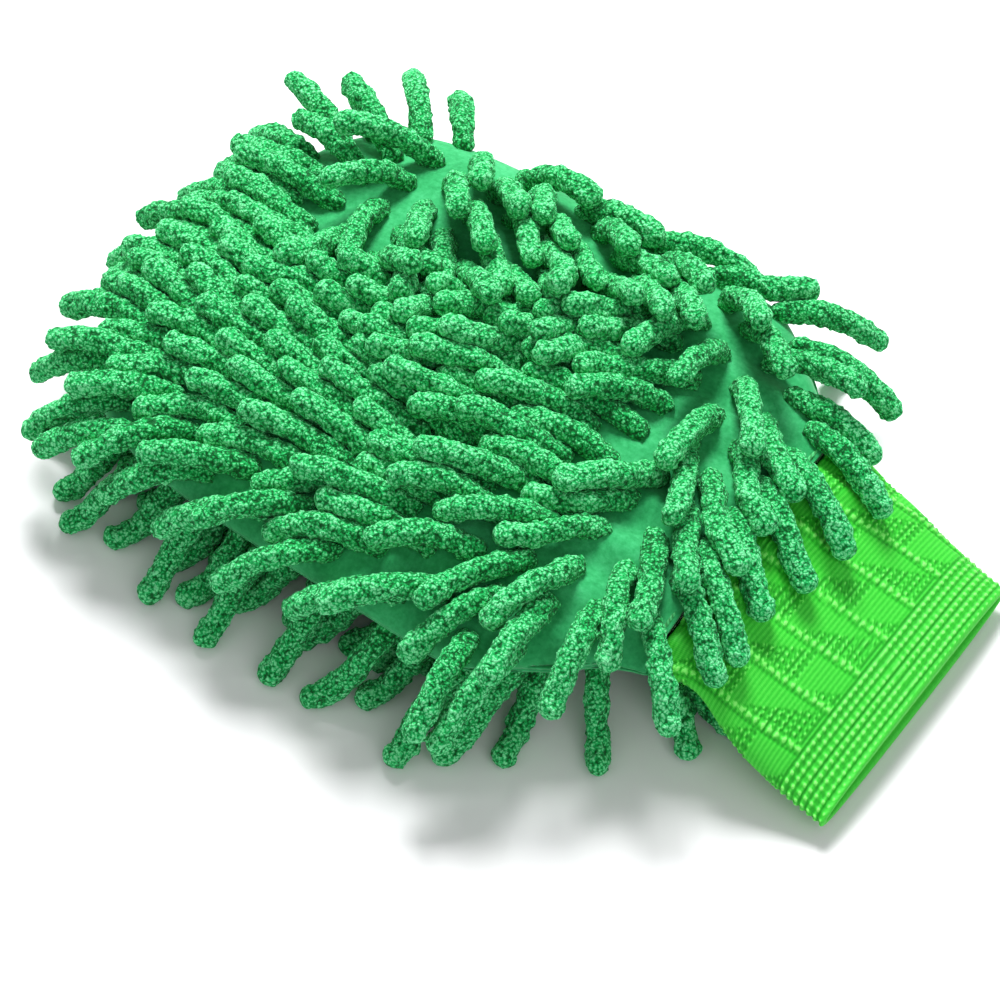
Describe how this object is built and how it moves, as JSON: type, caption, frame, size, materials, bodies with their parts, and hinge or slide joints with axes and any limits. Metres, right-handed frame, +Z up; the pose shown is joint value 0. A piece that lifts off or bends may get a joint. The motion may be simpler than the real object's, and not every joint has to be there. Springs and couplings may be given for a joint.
{
  "type": "wash mitt",
  "caption": "Chenille wash mitt with two domed panels covered in soft noodles, a lined hand pocket and a folded rib-knit cuff.",
  "frame": {"origin": "on the ground at the middle of the mitt's bounding box, seen from above", "axes": "+X runs along the mitt, out of the cuff's mouth; +Y runs across the mitt; +Z is up, out of the palm face"},
  "size_m": [0.2332, 0.1716, 0.0543],
  "materials": {
    "chenille_pile": "matte chenille pile",
    "base_cloth": "matte brushed knit",
    "lining_cloth": "smooth woven lining",
    "rib_knit": "matte jacquard rib knit",
    "sewing_thread": "spun polyester thread",
    "elastic_thread": "covered rubber thread"
  },
  "bodies": {
    "mitt_body": {"palm_panel": "base_cloth", "back_panel": "base_cloth", "palm_lining": "lining_cloth", "back_lining": "lining_cloth", "side_seam_thread": "sewing_thread", "cuff_join_thread": "sewing_thread", "palm_chenille_row_01": "chenille_pile", "palm_chenille_row_02": "chenille_pile", "palm_chenille_row_03": "chenille_pile", "palm_chenille_row_04": "chenille_pile", "palm_chenille_row_05": "chenille_pile", "palm_chenille_row_06": "chenille_pile", "palm_chenille_row_07": "chenille_pile", "palm_chenille_row_08": "chenille_pile", "palm_chenille_row_09": "chenille_pile", "palm_chenille_row_10": "chenille_pile", "palm_chenille_row_11": "chenille_pile", "palm_chenille_row_12": "chenille_pile", "palm_chenille_row_13": "chenille_pile", "palm_chenille_row_14": "chenille_pile", "palm_chenille_row_15": "chenille_pile", "palm_chenille_row_16": "chenille_pile", "palm_chenille_row_17": "chenille_pile", "back_chenille_row_01": "chenille_pile", "back_chenille_row_02": "chenille_pile", "back_chenille_row_03": "chenille_pile", "back_chenille_row_04": "chenille_pile", "back_chenille_row_05": "chenille_pile", "back_chenille_row_06": "chenille_pile", "back_chenille_row_07": "chenille_pile", "back_chenille_row_08": "chenille_pile", "back_chenille_row_09": "chenille_pile", "back_chenille_row_10": "chenille_pile", "back_chenille_row_11": "chenille_pile", "back_chenille_row_12": "chenille_pile", "back_chenille_row_13": "chenille_pile", "back_chenille_row_14": "chenille_pile", "back_chenille_row_15": "chenille_pile", "back_chenille_row_16": "chenille_pile", "back_chenille_row_17": "chenille_pile"},
    "cuff": {"cuff": "rib_knit", "cuff_elastic_threads": "elastic_thread"}
  },
  "joints": [
    {"name": "cuff_bend", "type": "hinge", "parent": "mitt_body", "child": "cuff", "pos_m": [0.06838, 0, 0.026], "axis": [0, -1, 0], "range_deg": [-12, 36]}
  ]
}
